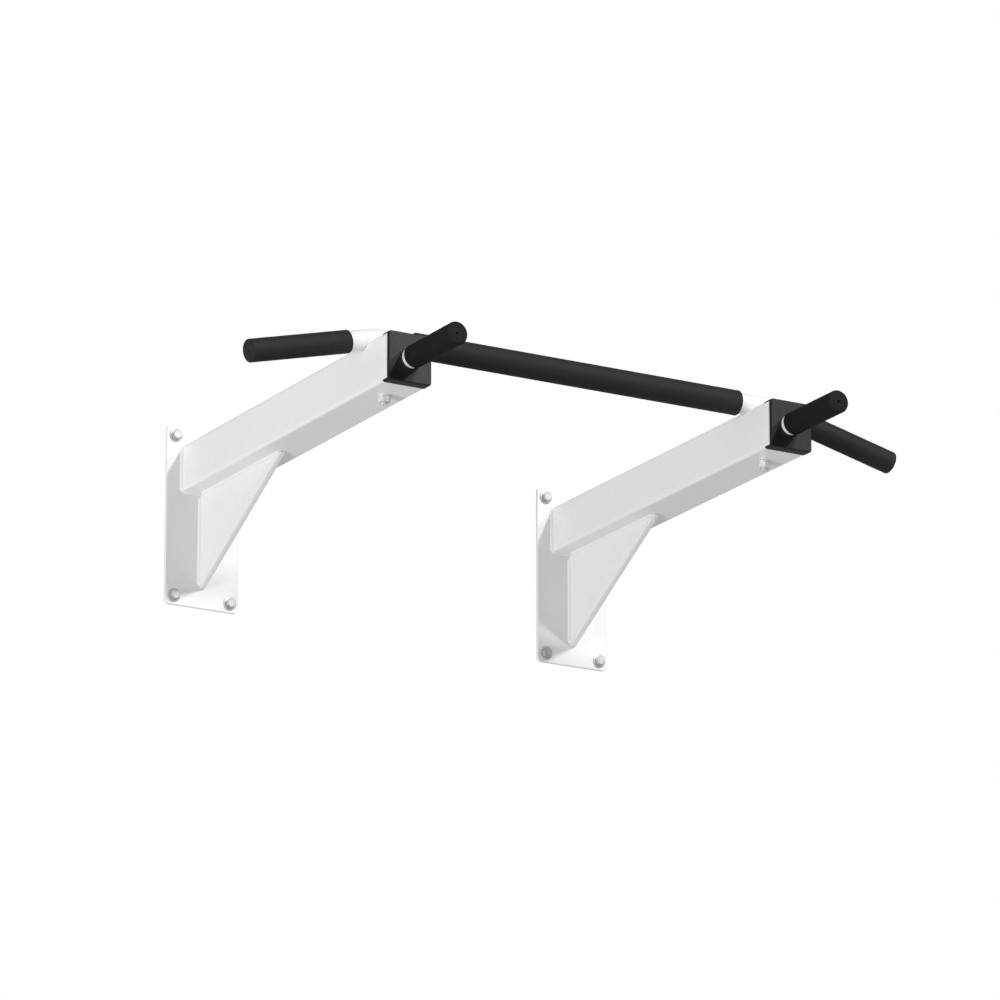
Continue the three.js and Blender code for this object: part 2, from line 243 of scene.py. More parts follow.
def makeFinish(name, look):
    # One Principled shader whose colour, roughness and normal come from grain, drift, edge wear and dust.
    material = bpy.data.materials.new(name)
    material.use_nodes = True
    tree = material.node_tree
    tree.nodes.clear()
    out = tree.nodes.new("ShaderNodeOutputMaterial")
    shader = tree.nodes.new("ShaderNodeBsdfPrincipled")
    place = tree.nodes.new("ShaderNodeTexCoord").outputs["Object"]
    if "stretch" in look:  # draws the grain out along one direction, as tooling or brushing does
        mapping = tree.nodes.new("ShaderNodeMapping")
        mapping.inputs["Scale"].default_value = look["stretch"]
        tree.links.new(place, mapping.inputs["Vector"])
        place = mapping.outputs["Vector"]
    grain = placeGroup(tree, grainGroup, place, {
        "Grain Scale": look["grainScale"], "Drift Scale": look["driftScale"],
        "Pit Scale": look.get("pitScale", 600.0), "Pit Depth": look.get("pitDepth", 0.0)})
    dust = placeGroup(tree, dustGroup, place, {"Amount": look["dust"]})
    colour = mixColours(tree, grain.outputs["Drift"], look["colour"], look["colourDrift"])
    # The pits are painted darker in colour: painted shade in the pores.
    if look.get("pitDepth", 0.0) > 0:
        shade = mathNode(tree, "MULTIPLY", grain.outputs["Pits"], look["pitShade"])
        colour = mixColours(tree, shade, colour, look["pitShadeColour"])
    wear = placeGroup(tree, wearGroup, place, {"Patch Scale": look["wearScale"], "Amount": look["wear"]})
    colour = mixColours(tree, wear.outputs["Mask"], colour, look["wearColour"])
    colour = mixColours(tree, dust.outputs["Mask"], colour, look["dustColour"])
    rough = mapRange(tree, grain.outputs["Drift"], 0.0, 1.0, look["roughness"][0], look["roughness"][1])
    worn = mathNode(tree, "MULTIPLY", wear.outputs["Mask"], 0.12)
    dusty = mathNode(tree, "MULTIPLY", dust.outputs["Mask"], 0.25)
    rough = mathNode(tree, "SUBTRACT", rough, worn, clamp=True)
    rough = mathNode(tree, "ADD", rough, dusty, clamp=True)
    bump = tree.nodes.new("ShaderNodeBump")
    bump.inputs["Strength"].default_value = look["bump"]
    bump.inputs["Distance"].default_value = look["bumpHeight"]
    tree.links.new(grain.outputs["Height"], bump.inputs["Height"])
    tree.links.new(colour, shader.inputs["Base Color"])
    tree.links.new(rough, shader.inputs["Roughness"])
    tree.links.new(bump.outputs["Normal"], shader.inputs["Normal"])
    for label, value in look.get("fixed", {}).items():
        shader.inputs[label].default_value = value
    tree.links.new(shader.outputs[0], out.inputs["Surface"])
    return material


foamGrain = {  # what both foams share
    "dust": 0.12, "wear": 0.6, "wearScale": 260.0, "grainScale": 1500.0, "driftScale": 14.0,
    "pitScale": 900.0, "pitDepth": 0.5, "pitShade": 0.5, "bump": 0.5, "bumpHeight": 0.00022,
}
plateGrain = {  # what both platings share
    "dust": 0.15, "wear": 0.6, "wearScale": 420.0, "grainScale": 1600.0, "driftScale": 90.0,
    "bump": 0.25, "bumpHeight": 0.00008,
}
finishLooks = {
    "whitePowderCoat": {
        "colour": (0.80, 0.80, 0.795), "colourDrift": (0.775, 0.775, 0.77),
        "dustColour": (0.70, 0.69, 0.67), "dust": 0.10,
        "wearColour": (0.86, 0.86, 0.855), "wear": 0.5, "wearScale": 170.0,
        "grainScale": 850.0, "driftScale": 7.0, "roughness": (0.36, 0.44),
        "bump": 0.35, "bumpHeight": 0.00012,
        "fixed": {"Specular IOR Level": 0.5},
    },
    "blackBarFoam": {
        **foamGrain, "colour": (0.0150, 0.0150, 0.0150), "colourDrift": (0.0190, 0.0187, 0.0183),
        "dustColour": (0.06, 0.058, 0.055), "wearColour": (0.030, 0.030, 0.029),
        "pitShadeColour": (0.005, 0.005, 0.005), "roughness": (0.62, 0.72),
        "fixed": {"Specular IOR Level": 0.20},
    },
    # A darker copy of the bar foam for the handles: its lower colour is painted shade, so their lit ends
    # read darker.
    "shadePaintedHandleFoam": {
        **foamGrain, "colour": (0.0095, 0.0095, 0.0095), "colourDrift": (0.0125, 0.0123, 0.0120),
        "dustColour": (0.05, 0.048, 0.045), "wearColour": (0.022, 0.022, 0.021),
        "pitShadeColour": (0.003, 0.003, 0.003), "roughness": (0.60, 0.70),
        "fixed": {"Specular IOR Level": 0.08},
    },
    "blackCapPlastic": {
        "colour": (0.0090, 0.0090, 0.0090), "colourDrift": (0.0115, 0.0113, 0.011),
        "dustColour": (0.06, 0.058, 0.055), "dust": 0.12,
        "wearColour": (0.035, 0.035, 0.034), "wear": 0.6, "wearScale": 220.0,
        "grainScale": 1900.0, "driftScale": 18.0, "roughness": (0.40, 0.48),
        "bump": 0.3, "bumpHeight": 0.00012,
        "fixed": {"Specular IOR Level": 0.22},
    },
    "brightZincPlate": {
        **plateGrain, "colour": (0.50, 0.50, 0.495), "colourDrift": (0.42, 0.42, 0.42),
        "dustColour": (0.40, 0.39, 0.38), "wearColour": (0.66, 0.66, 0.65), "roughness": (0.46, 0.58),
        "fixed": {"Metallic": 0.4},
    },
    # A copy of the zinc plating brightened towards white for the stud, nut and washer under the arm:
    # painted reflection of the white surroundings.
    "reflectionPaintedNutPlate": {
        **plateGrain, "colour": (0.82, 0.82, 0.81), "colourDrift": (0.72, 0.72, 0.715),
        "dustColour": (0.50, 0.49, 0.48), "wearColour": (0.90, 0.90, 0.89), "roughness": (0.30, 0.42),
        "fixed": {"Metallic": 0.3},
    },
}
whitePaint, barFoam, shadeDarkenedHandleFoam, capPlastic, zincPlate, reflectionBrightenedNutPlate = (
    makeFinish(name, look) for name, look in finishLooks.items())
print("finishes made")


crossBar = {
    "radius": 0.015, "wall": 0.0025, "bendAngle": 14.0, "bendRadius": 0.120, "bendOffset": 0.0135,
    "aroundSteps": 72, "levelSteps": 11, "bendSteps": 16, "endSteps": 7,
}
armMiddle = middle("right_arm_tube")
barCentre = middle("main_grip")
bendAngle = np.radians(crossBar["bendAngle"])
levelHalf = armMiddle[0] + crossBar["bendOffset"] - crossBar["bendRadius"] * np.tan(bendAngle / 2)
bendLength = crossBar["bendRadius"] * bendAngle


def barLine(distance):
    # Place and slope at a signed distance along the bar: level, then an arc, then straight and sloping.
    far = np.abs(distance)
    slope = np.clip((far - levelHalf) / crossBar["bendRadius"], 0, bendAngle)
    straight = np.maximum(far - levelHalf - bendLength, 0)
    x = np.minimum(far, levelHalf) + crossBar["bendRadius"] * np.sin(slope) + straight * np.cos(slope)
    z = barCentre[2] - crossBar["bendRadius"] * (1 - np.cos(slope)) - straight * np.sin(slope)
    return np.sign(distance) * x, z, np.sign(distance) * slope


def carriedRound(distance, radius, angles):
    # A circle of given radius carried along the bar's line, turned square to it at each distance.
    x, z, slope = barLine(distance)
    across, up = np.cos(angles)[None, :] * radius, np.sin(angles)[None, :] * radius
    return np.stack([
        x[:, None] + up * np.sin(slope)[:, None],
        barCentre[1] + across + 0 * x[:, None],
        z[:, None] + up * np.cos(slope)[:, None],
    ], axis=-1)


def makeCrossBar():
    # Two carried circles, the outside and the bore, joined at both ends.
    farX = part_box("cross_bar_tube")[1][0]
    reach = (farX - crossBar["radius"] * np.sin(bendAngle) - levelHalf
             - crossBar["bendRadius"] * np.sin(bendAngle)) / np.cos(bendAngle)
    half = np.concatenate([
        np.linspace(0, levelHalf, crossBar["levelSteps"] + 1)[1:],
        levelHalf + np.linspace(0, bendLength, crossBar["bendSteps"] + 1)[1:],
        levelHalf + bendLength + np.linspace(0, reach, crossBar["endSteps"] + 1)[1:],
    ])
    distance = np.concatenate([-half[::-1], [0], half])
    angles = roundAngles(crossBar["aroundSteps"])
    outer = carriedRound(distance, crossBar["radius"], angles)
    inner = carriedRound(distance, crossBar["radius"] - crossBar["wall"], angles)
    rings = np.concatenate([outer, inner[::-1]])
    makePiece("crossBarShell", [surface(rings, True, True)], whitePaint, ["cross_bar_tube"])


makeCrossBar()
print("cross bar done")


grips = {
    "aroundSteps": 96, "clearance": 0.0003, "rimRound": 0.0008, "endRound": 0.003, "endWall": 0.004,
    "ventRadius": 0.0015, "ventStart": 0.0003, "ventEdge": 0.0006, "ripple": 0.00004,
    "mainRadius": 0.0185, "outerRadius": 0.0168, "handleRadius": 0.017,
    "outerGap": 0.025, "outerLength": 0.1619,
}


def gripProfile(length, boreRadius, outerRadius, closedEnd):
    # Distance and radius round the sleeve's section. Along the body the radius is
    # outer - 1.6 ripple + ripple (sin(2 pi d / 31 mm) + 0.6 sin(2 pi d / 13.7 mm + 1.1)).
    rim, far = grips["rimRound"], grips["endRound"] if closedEnd else grips["rimRound"]
    body = np.linspace(rim, length - far, 60)[1:-1]
    turn = body * 2 * np.pi
    wave = grips["ripple"] * (np.sin(turn / 0.031) + 0.6 * np.sin(turn / 0.0137 + 1.1))
    rows = [
        [[0.0, boreRadius]],
        quarterArc(rim, outerRadius - rim, rim, 180, 90, 6),
        np.stack([body, outerRadius - grips["ripple"] * 1.6 + wave], axis=1),
        quarterArc(length - far, outerRadius - far, far, 90, 0, 8),
    ]
    if closedEnd:
        vent, edge, mouth = grips["ventRadius"], grips["ventEdge"], length - grips["ventStart"]
        back = length - grips["endWall"]
        rows += [[[mouth, vent + edge], [mouth - edge, vent], [back, vent], [back, boreRadius]]]
    else:
        rows += [[[length, boreRadius]]]
    return np.concatenate([np.array(r, float) for r in rows])


def makeGrip(name, node, start, along, length, boreRadius, outerRadius, closedEnd, foam=barFoam):
    # The sleeve's section carried round its axis.
    profile = gripProfile(length, boreRadius, outerRadius, closedEnd)
    sideways = np.array([0.0, 0.0, 1.0]) if abs(along[1]) > 0.5 else np.array([0.0, 1.0, 0.0])
    points = turned(profile, roundAngles(grips["aroundSteps"]), start, along, sideways)
    makePiece(name, [surface(points, True, True)], foam, [node])


def makeGrips():
    bore = crossBar["radius"] + grips["clearance"]
    low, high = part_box("main_grip")
    makeGrip("mainGripFoam", "main_grip", (low[0], barCentre[1], barCentre[2]), (1, 0, 0),
             high[0] - low[0], bore, grips["mainRadius"], False)
    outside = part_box("right_arm_tube")[1][0] + grips["outerGap"]
    bendX = armMiddle[0] + crossBar["bendOffset"]
    begin = (outside - bendX) / np.cos(bendAngle) - crossBar["bendRadius"] * np.tan(bendAngle / 2)
    x, z = barLine(np.array([levelHalf + bendLength + begin]))[:2]
    for side, word in ((-1, "left"), (1, "right")):
        direction = np.array([side * np.cos(bendAngle), 0.0, -np.sin(bendAngle)])
        makeGrip(word + "OuterGripFoam", word + "_outer_grip", (side * x[0], barCentre[1], z[0]), direction,
                 grips["outerLength"], bore, grips["outerRadius"], True)
        low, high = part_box(word + "_handle_grip")
        centre = middle(word + "_handle_grip")
        start = (centre[0], high[1], centre[2])
        makeGrip(word + "HandleGripFoam", word + "_handle_grip", start, (0, -1, 0), high[1] - low[1],
                 bore, grips["handleRadius"], True, shadeDarkenedHandleFoam)


makeGrips()
print("grips done")


handle = {"radius": 0.015, "wall": 0.0025, "edge": 0.0005, "aroundSteps": 72}


def makeHandleTube(word):
    # A tube's section with its outer edges cut back at 45 degrees, carried round the axis.
    low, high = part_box(word + "_handle_tube")
    centre, length = middle(word + "_handle_tube"), high[1] - low[1]
    outer, inner, edge = handle["radius"], handle["radius"] - handle["wall"], handle["edge"]
    profile = np.array([[0, outer - edge], [edge, outer], [length - edge, outer], [length, outer - edge],
                        [length, inner], [0, inner]], float)
    start = (centre[0], high[1], centre[2])
    points = turned(profile, roundAngles(handle["aroundSteps"]), start, (0, -1, 0), (0, 0, 1))
    makePiece(word + "HandleTubeShell", [surface(points, True, True)], whitePaint,
              [word + "_handle_tube"])


arm = {"wall": 0.003, "corner": 0.005, "cornerSteps": 8, "grooveGap": 0.0003, "grooveSteps": 40,
       "lineSteps": 400}


def roundedRing(halfX, halfZ, radius, sideX, sideZ, cornerSteps):
    # A rounded rectangle, anticlockwise from its lower right. sideX and sideZ hold the places along the
    # straight sides from -1 to 1, and each corner is a quarter circle, centre + radius (cos a, sin a).
    quarter = np.radians(np.linspace(0, 90, cornerSteps + 1))[1:-1]
    reachX, reachZ = halfX - radius, halfZ - radius
    right = np.stack([np.full_like(sideZ, halfX), sideZ * reachZ], axis=1)
    top = np.stack([-sideX * reachX, np.full_like(sideX, halfZ)], axis=1)
    corner = lambda cx, cz, a: np.stack([cx + radius * np.cos(a), cz + radius * np.sin(a)], axis=1)
    return np.concatenate([
        right, corner(reachX, reachZ, quarter),
        top, corner(-reachX, reachZ, quarter + np.pi / 2),
        -right, corner(-reachX, -reachZ, quarter + np.pi),
        -top, corner(reachX, -reachZ, quarter + 1.5 * np.pi),
    ])


def makeArm(word, side):
    # Rounded squares, outside and inside, carried along the arm. Under the bar each height is the lower of
    # itself and axis - sqrt(radius^2 - y^2) / cos(slope), y being measured from the bar's axis.
    low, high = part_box(word + "_arm_tube")
    centre = middle(word + "_arm_tube")
    halfX = (high[0] - low[0]) / 2
    halfZ = (high[2] - low[2]) / 2
    sideX = np.concatenate([[-1, -0.985], np.linspace(-0.9, 0.9, 11), [0.985, 1]])
    sideZ = np.concatenate([[-1, -0.985, -0.6, 0, 0.5], np.linspace(0.6, 0.95, 8), [0.985, 1]])
    outerRing = roundedRing(halfX, halfZ, arm["corner"], sideX, sideZ, arm["cornerSteps"])
    innerRing = roundedRing(halfX - arm["wall"], halfZ - arm["wall"], arm["corner"] - arm["wall"],
                            sideX, sideZ, arm["cornerSteps"])
    grooveRadius = crossBar["radius"] + arm["grooveGap"]
    acrossGroove = np.radians(np.linspace(-90, 90, arm["grooveSteps"] + 1))
    nearBar = barCentre[1] + grooveRadius * np.sin(acrossGroove)
    places = np.concatenate([
        [low[1]], np.linspace(low[1], nearBar[0], 5)[1:-1],
        nearBar, np.linspace(nearBar[-1], high[1], 10)[1:],
    ])
    barDistance = np.linspace(0, armMiddle[0] + 2 * halfX, arm["lineSteps"])
    lineX, lineZ, lineSlope = barLine(barDistance)

    def pressed(ring, inset):
        # The ring carried along the arm, with its top pressed down to the bar's lower side.
        x = centre[0] + np.broadcast_to(ring[:, 0], (len(places), len(ring)))
        y = np.broadcast_to(places[:, None], x.shape)
        z = low[2] + halfZ + np.broadcast_to(ring[:, 1], x.shape)
        axisZ = np.interp(side * x, lineX, lineZ)
        stretch = 1 / np.cos(np.interp(side * x, lineX, lineSlope))
        offset = np.clip((y - barCentre[1]) / grooveRadius, -1, 1)
        groove = axisZ - grooveRadius * np.sqrt(1 - offset ** 2) * stretch - inset
        inside = np.abs(y - barCentre[1]) < grooveRadius * 0.99999
        z = np.where(inside, np.minimum(z, groove), z)
        return np.stack([x, y, z], axis=-1)

    rings = np.concatenate([pressed(outerRing, 0.0), pressed(innerRing, arm["wall"])[::-1]])
    makePiece(word + "ArmShell", [surface(rings, True, True)], whitePaint,
              [word + "_arm_tube"], 30)


gusset = {"nose": 0.002, "edgeRound": 0.0008, "cornerRound": 0.00084, "cornerSteps": 4, "edgeSteps": 3}


def roundedOutline(corners, radius, steps):
    # Each corner of a convex outline becomes an arc whose centre lies radius / sin(half the corner's angle)
    # inwards along the corner's bisector. Gives the points and their outward directions.
    corners = np.array(corners, float)
    before, after = np.roll(corners, 1, axis=0), np.roll(corners, -1, axis=0)
    toBefore = (before - corners) / np.linalg.norm(before - corners, axis=1, keepdims=True)
    toAfter = (after - corners) / np.linalg.norm(after - corners, axis=1, keepdims=True)
    halfOpening = np.arccos(np.clip((toBefore * toAfter).sum(1), -1, 1)) / 2
    inward = toBefore + toAfter
    inward /= np.linalg.norm(inward, axis=1, keepdims=True)
    centres = corners + inward * (radius / np.sin(halfOpening))[:, None]
    outFrom = np.stack([toBefore[:, 1], -toBefore[:, 0]], axis=1)
    outFrom *= np.sign(-(outFrom * inward).sum(1))[:, None]
    outTo = np.stack([toAfter[:, 1], -toAfter[:, 0]], axis=1)
    outTo *= np.sign(-(outTo * inward).sum(1))[:, None]
    share = np.linspace(0, 1, steps + 1)[None, :, None]
    directions = outFrom[:, None, :] * (1 - share) + outTo[:, None, :] * share
    directions /= np.linalg.norm(directions, axis=2, keepdims=True)
    points = centres[:, None, :] + radius * directions
    return points.reshape(-1, 2), directions.reshape(-1, 2)


def roundedSlab(outline, outward, thickness, edge, steps):
    # A flat plate round a convex outline: its rows run from the middle of one face over the rounded
    # edge, inset = edge (1 - sin a) and drop = edge (1 - cos a), to the middle of the other face.
    a = np.radians(np.linspace(0, 90, steps + 1))
    short, long = edge * (1 - np.sin(a)), edge * (1 - np.cos(a))
    support = [edge + 0.0002]  # a row just inside the rounding, which keeps the face flat
    inset = np.concatenate([support, short, long, support])
    height = np.concatenate([[0.0], -long, -thickness + short, [-thickness]])
    rows = outline[None, :, :] - outward[None, :, :] * inset[:, None, None]
    centre = np.broadcast_to(outline.mean(axis=0), rows[:1].shape)
    flat = np.concatenate([centre, rows, centre])
    level = np.concatenate([[0.0], height, [-thickness]])
    return flat, level


def makeGusset(word):
    # A triangle under the arm, its two sharp tips cut off square by the nose, then made into a slab.
    low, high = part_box(word + "_gusset")
    nose, depth, drop = gusset["nose"], high[1] - low[1], high[2] - low[2]
    corners = [(0, 0), (0, -drop), (-nose, -drop), (-depth, -nose), (-depth, 0)]
    outline, outward = roundedOutline(corners, gusset["cornerRound"], gusset["cornerSteps"])
    flat, level = roundedSlab(outline, outward, high[0] - low[0], gusset["edgeRound"], gusset["edgeSteps"])
    x = high[0] + np.broadcast_to(level[:, None], flat.shape[:2])
    points = np.stack([x, high[1] + flat[..., 0], high[2] + flat[..., 1]], axis=-1)
    makePiece(word + "GussetPlate", [surface(points, False, True)], whitePaint,
              [word + "_gusset"], 30)


plate = {"corner": 0.007, "edgeRound": 0.0009, "edgeSteps": 4, "cornerSteps": 8, "holeRadius": 0.0045,
         "insetX": 0.014, "insetZ": 0.014, "stepsX": 8, "stepsZ": 12}


def makeWallPlate(word):
    # Four mirrored quarters. Each is a fan of lines from the bolt hole out to the quarter's border, once
    # for each face, with the hole's wall between them and a rounded strip along the outer border.
    low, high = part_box(word + "_wall_plate")
    centre = middle(word + "_wall_plate")
    halfX, halfZ = (high[0] - low[0]) / 2, (high[2] - low[2]) / 2
    stepsX, stepsZ, cornerSteps = plate["stepsX"], plate["stepsZ"], plate["cornerSteps"]
    hole = np.array([halfX - plate["insetX"], halfZ - plate["insetZ"]])

    def border(inset):
        # The quarter's rectangle with its outer corner rounded, from the plate's middle and back to it.
        a, b, r = halfX - inset, halfZ - inset, plate["corner"] - inset
        arc = np.radians(np.linspace(0, 90, cornerSteps + 1))
        shareX, shareZ = np.linspace(0, 1, stepsX + 1), np.linspace(0, 1, stepsZ + 1)
        return np.concatenate([
            np.stack([shareX * a, 0 * shareX], axis=1),
            np.stack([a + 0 * shareZ, shareZ * (b - r)], axis=1)[1:],
            np.stack([a - r + r * np.cos(arc), b - r + r * np.sin(arc)], axis=1)[1:],
            np.stack([(1 - shareX) * (a - r), b + 0 * shareX], axis=1)[1:],
            np.stack([0 * shareZ, (1 - shareZ) * b], axis=1)[1:-1],
        ])

    first, last = stepsX, 2 * stepsX + stepsZ + cornerSteps  # the stretch on the plate's outer edge
    frontBorder, backBorder = border(plate["edgeRound"]), border(0.0)
    ray = backBorder - hole
    ray /= np.linalg.norm(ray, axis=1, keepdims=True)
    rim = hole + plate["holeRadius"] * ray
    share = np.array([0, 0.01, 0.5, 1])[:, None, None]
    front, back = low[1], high[1]
    flatRows = [frontBorder * (1 - share) + rim * share, rim * (1 - share) + backBorder * share]
    flat = np.concatenate(flatRows)
    level = np.concatenate([np.full(4, front), np.full(4, back)])
    a = np.radians(np.linspace(0, 90, plate["edgeSteps"] + 1))
    insets = np.concatenate([plate["edgeRound"] * (1 - np.sin(a)), [0.0]])
    edgeLevel = np.concatenate([front + plate["edgeRound"] * (1 - np.cos(a)), [back]])
    strip = np.stack([border(inset)[first:last + 1] for inset in insets])
    surfaces = []
    for signX in (-1, 1):
        for signZ in (-1, 1):
            for grid, height, closed in ((flat, level, True), (strip, edgeLevel, False)):
                y = np.broadcast_to(height[:, None], grid.shape[:2])
                x, z = centre[0] + signX * grid[..., 0], centre[2] + signZ * grid[..., 1]
                surfaces.append(surface(np.stack([x, y, z], axis=-1), False, closed))
    makePiece(word + "WallPlateSteel", surfaces, whitePaint, [word + "_wall_plate"], 30)


cap = {
    "corner": 0.004, "cornerSteps": 8, "edgeRound": 0.0013, "edgeSteps": 5, "softEdge": 0.0003,
    "lip": 0.001, "lipDepth": 0.013, "lipFront": 0.0025, "lipWrap": 0.0025,
    "insertGap": 0.0003, "insertWall": 0.0025, "insertDepth": 0.015, "insertCorner": 0.002,
    "boreCorner": 0.00125, "holeRadius": 0.0153, "holeEdge": 0.0006,
}


def makeEndCap(word):
    # Rings of one count of points, joined from the hole in the face over its rounded edge, round the two
    # lips that hug the arm's corners, over the hollow insert and back to the hole.
    armLow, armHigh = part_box(word + "_arm_tube")
    centre = middle(word + "_end_cap")
    face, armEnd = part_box(word + "_end_cap")[0][1], armLow[1]
    armHalf = (armHigh[0] - armLow[0]) / 2
    lipHalf = armHalf + cap["lip"]
    faceHalf = armHalf - cap["lip"]
    sideX = np.concatenate([[-1, -0.98], np.linspace(-0.8, 0.8, 5), [0.98, 1]])
    ring = lambda hx, hz, r: roundedRing(hx, hz, r, sideX, sideX, cap["cornerSteps"])
    faceRing = ring(faceHalf, lipHalf, cap["corner"])
    onLip = np.abs(ring(armHalf, armHalf, arm["corner"])[:, 1]) > armHalf - cap["lipWrap"]
    lipRing = np.where(onLip[:, None], ring(lipHalf, lipHalf, arm["corner"] + cap["lip"]), faceRing)
    armRing = np.where(onLip[:, None], ring(armHalf, armHalf, arm["corner"]), faceRing)
    edge, soft, holeEdge = cap["edgeRound"], cap["softEdge"], cap["holeEdge"]
    rows = []

    def addRow(flat, depth):
        depth = np.broadcast_to(depth, len(flat))
        rows.append(np.stack([centre[0] + flat[:, 0], depth, centre[2] + flat[:, 1]], axis=1))

    handleAt = np.array([middle(word + "_handle_tube")[0] - centre[0], 0.0])
    unit = (faceRing - handleAt) / np.linalg.norm(faceRing - handleAt, axis=1, keepdims=True)
    hole = handleAt + unit * cap["holeRadius"]
    addRow(hole, face + holeEdge)
    addRow(handleAt + unit * (cap["holeRadius"] + holeEdge), face)
    addRow(ring(faceHalf - edge - soft, lipHalf - edge - soft, cap["corner"] - edge - soft), face)
    a = np.radians(np.linspace(0, 90, cap["edgeSteps"] + 1))
    for inset, depth in zip(edge * (1 - np.sin(a)), face + edge * (1 - np.cos(a))):
        addRow(ring(faceHalf - inset, lipHalf - inset, cap["corner"] - inset), depth)
    lipStart = armEnd - cap["lipFront"]
    lipEnd = np.where(onLip, armEnd + cap["lipDepth"], armEnd)
    addRow(faceRing, lipStart)
    addRow(faceRing + (lipRing - faceRing) * 0.7, lipStart)
    addRow(lipRing, lipStart + soft)
    addRow(lipRing, lipEnd - np.where(onLip, soft, 0))
    addRow(lipRing + (armRing - lipRing) * 0.3, lipEnd)
    addRow(armRing, lipEnd)
    addRow(armRing, armEnd)
    insertHalf = armHalf - arm["wall"] - cap["insertGap"]
    boreHalf = insertHalf - cap["insertWall"]
    insertRing = ring(insertHalf, insertHalf, cap["insertCorner"])
    boreRing = ring(boreHalf, boreHalf, cap["boreCorner"])
    addRow(insertRing, armEnd)
    addRow(insertRing, armEnd + cap["insertDepth"])
    addRow(boreRing, armEnd + cap["insertDepth"])
    addRow(boreRing, armEnd)
    addRow(hole, armEnd)
    makePiece(word + "EndCapMoulding", [surface(np.stack(rows), True, True)], capPlastic,
              [word + "_end_cap"], 32)


for word, side in (("left", -1), ("right", 1)):
    makeHandleTube(word)
    makeArm(word, side)
    makeGusset(word)
    makeWallPlate(word)
    makeEndCap(word)
print("brackets done")


hexHead = {"flatShare": 0.93, "chamferSlope": 30.0, "chamferSteps": 4, "stepsPerSide": 10}
wallScrew = {
    "acrossFlats": 0.013, "headHeight": 0.0053, "radius": 0.004, "neck": 0.0004, "threadStart": 0.016,
    "threadGap": 0.0005, "pitch": 0.0038, "threadDepth": 0.0009, "tip": 0.008, "rowsPerTurn": 12,
    "turns": (0.3, 1.1, 0.75, 0.1, 0.9, 0.45, 0.2, 1.4),
}
washerLook = {"radius": 0.010, "edge": 0.0004, "play": 0.0003, "mouthWiden": 0.0002,
              "mouthDepth": 0.0003, "around": 48}
studLook = {"radius": 0.005, "pitch": 0.0015, "threadDepth": 0.0007, "threadLength": 0.026,
            "threadGap": 0.0002, "threadPlay": 0.00005, "rowsPerTurn": 8, "around": 32,
            "endChamfer": 0.0008}
nutLook = {"acrossFlats": 0.016, "bore": 0.0053, "boreEdge": 0.0006, "turns": (0.25, 0.6)}


def hexRadius(acrossFlats, angles):
    # Distance to a hexagon's side in each direction: half the width over the cosine from the side's middle.
    sixth = np.pi / 3
    return acrossFlats / 2 / np.cos((angles + sixth / 2) % sixth - sixth / 2)


def hexRows(acrossFlats, angles, height, chamferBoth):
    # Rows of distance and radius for a hexagon prism with its corners turned off by a cone, on which
    # distance = (radius - flat radius) times the tangent of the chamfer's slope.
    radius = hexRadius(acrossFlats, angles)
    flat = acrossFlats / 2 * hexHead["flatShare"]
    slope = np.tan(np.radians(hexHead["chamferSlope"]))
    share = np.linspace(0, 1, hexHead["chamferSteps"] + 1)[:, None]
    rowRadius = flat + (radius - flat)[None, :] * share
    rowHeight = (rowRadius - flat) * slope
    upper = np.stack([rowHeight, rowRadius], axis=-1)
    if chamferBoth:
        lower = np.stack([height - rowHeight[::-1], rowRadius[::-1]], axis=-1)
    else:
        lower = np.stack([np.full((1, len(angles)), height), radius[None, :]], axis=-1)
    return np.concatenate([upper, lower])


def placeRows(rows, angles, start, along, sideways):
    # Rows of distance and radius that change with the angle, carried round the axis.
    along, sideways = np.array(along, float), np.array(sideways, float)
    ring = np.cos(angles)[:, None] * sideways + np.sin(angles)[:, None] * np.cross(along, sideways)
    return np.array(start, float) + rows[..., :1] * along + rows[..., 1:] * ring[None]


def threadRows(startAt, endAt, radius, depth, pitch, rowsPerTurn, angles, taper):
    # A screw thread: the radius dips along a sawtooth of distance over pitch less angle over a turn,
    # fading in at the start and shrinking to the tip over the taper.
    count = int((endAt - startAt) / pitch * rowsPerTurn) + 1
    distance = np.linspace(startAt, endAt, count)[:, None] + 0 * angles[None, :]
    phase = (distance / pitch - angles[None, :] / (2 * np.pi)) % 1.0
    tooth = np.clip(np.abs(phase * 2 - 1) * 1.5 - 0.2, 0, 1)
    fade = np.clip((distance - startAt) / pitch, 0, 1) * np.clip((endAt - distance) / (pitch * 0.5), 0, 1)
    size = radius - depth * tooth * fade
    if taper > 0:
        size = size * np.clip((endAt - distance) / taper, 0.02, 1) ** 0.8
    return np.stack([distance, size], axis=-1)


def constantRow(distance, radius, angles):
    return np.stack([np.full(len(angles), distance), np.full(len(angles), radius)], axis=-1)[None]


